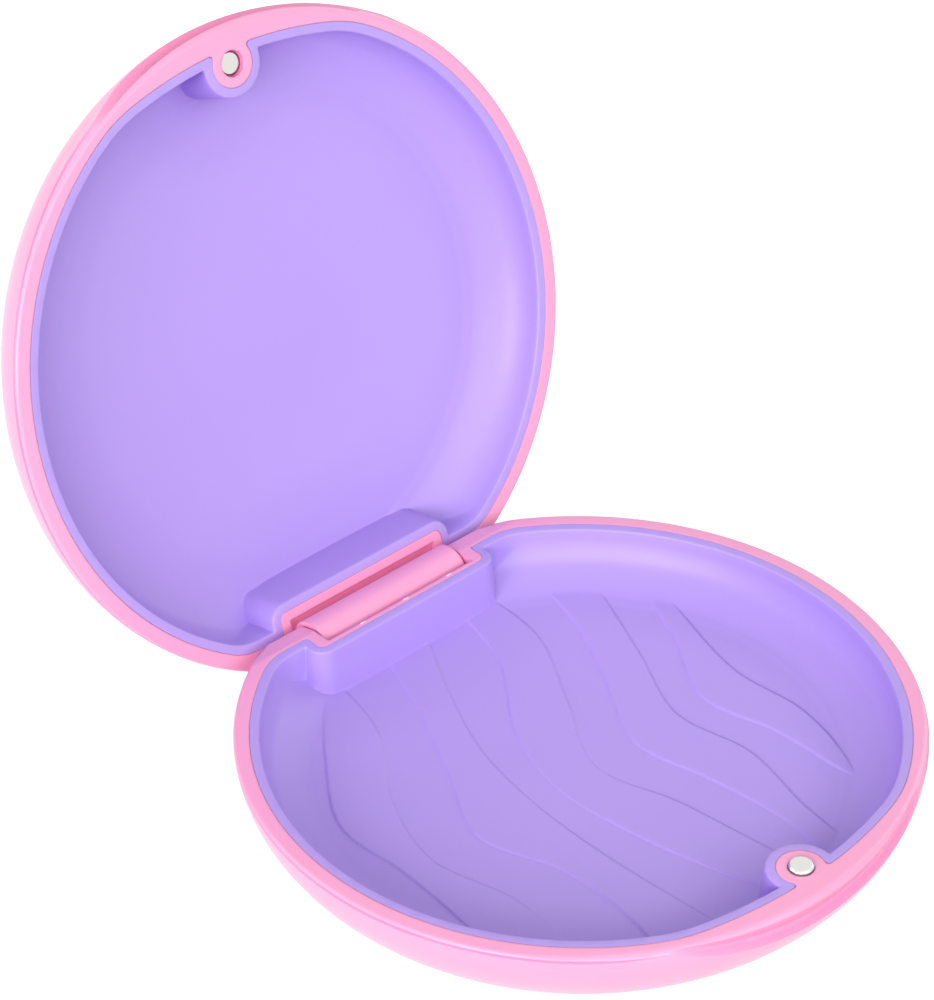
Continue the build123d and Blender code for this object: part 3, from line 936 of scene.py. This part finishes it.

# %% [markdown]
# Round soft boxes stand in a ring one metre from the case. Their powers started from the photo: the
# case was rendered under one lamp at a time, and the mixture that comes closest to the photo's light
# and shade was worked out. It was then rounded and corrected, and a lamp that a magnet mirrored into
# the camera was left out. Most light comes from the left front. The weak lamps behind draw the bright
# edges.

# %% Soft boxes
MIDDLE = Vector((0, 0.02, 0.03))
BOX_SIZE = 0.5
LAMPS = (               # turn round the case and height in degrees, power in watts
    ("key", 195, 20, 4.3),
    ("front left", 225, 20, 3.3),
    ("front", 255, 28, 2.0),
    ("front right", 285, 35, 1.05),
    ("low left back", 135, 20, 0.8),
    ("left back", 135, 35, 0.9),
    ("low back", 90, 20, 0.8),
    ("low right", 0, 20, 0.8),
    ("right", 0, 40, 0.7),
)


def softbox(name, turn, height, watts):
    lamp = bpy.data.lights.new(name, "AREA")
    lamp.shape = "DISK"
    lamp.size = BOX_SIZE
    lamp.energy = watts
    stand = bpy.data.objects.new(name, lamp)
    bpy.context.scene.collection.objects.link(stand)
    turn, height = math.radians(turn), math.radians(height)
    level = math.cos(height)
    away = Vector((math.cos(turn) * level, math.sin(turn) * level, math.sin(height)))
    stand.location = MIDDLE + away
    stand.rotation_euler = away.to_track_quat("Z", "Y").to_euler()


for name, turn, height, watts in LAMPS:
    softbox(name + " soft box", turn, height, watts)
print(len(LAMPS), "soft boxes,", round(sum(lamp[3] for lamp in LAMPS), 1), "watts in all")

# %% [markdown]
# The camera was found by matching points that can be named both in the photo and on the model, such as
# the magnets, the ends of the barrel and the rims. Its focal length is 3526 pixels of a picture 1000
# pixels high, and the picture's right and down directions are given in the model's frame.

# %% Camera
FOCAL_PIXELS, PICTURE_HEIGHT = 3526.0, 1000.0
RIGHT = Vector((0.73856, -0.67407, -0.01274)).normalized()
UP = -Vector((-0.40274, -0.42596, -0.81016)).normalized()
EYE = Vector((-0.229792, -0.236584, 0.285172))

lens = bpy.data.cameras.new("photo camera")
lens.sensor_fit = "VERTICAL"
lens.sensor_height = 36.0
lens.lens = FOCAL_PIXELS / PICTURE_HEIGHT * lens.sensor_height
camera = bpy.data.objects.new("photo camera", lens)
bpy.context.scene.collection.objects.link(camera)
turn = Matrix((RIGHT, UP, RIGHT.cross(UP))).transposed().to_4x4()
camera.matrix_world = Matrix.Translation(EYE) @ turn
bpy.context.scene.camera = camera
bpy.context.scene.view_settings.view_transform = "Standard"
print("camera", round((EYE - MIDDLE).length, 3), "m from the case, lens", round(lens.lens, 1), "mm")
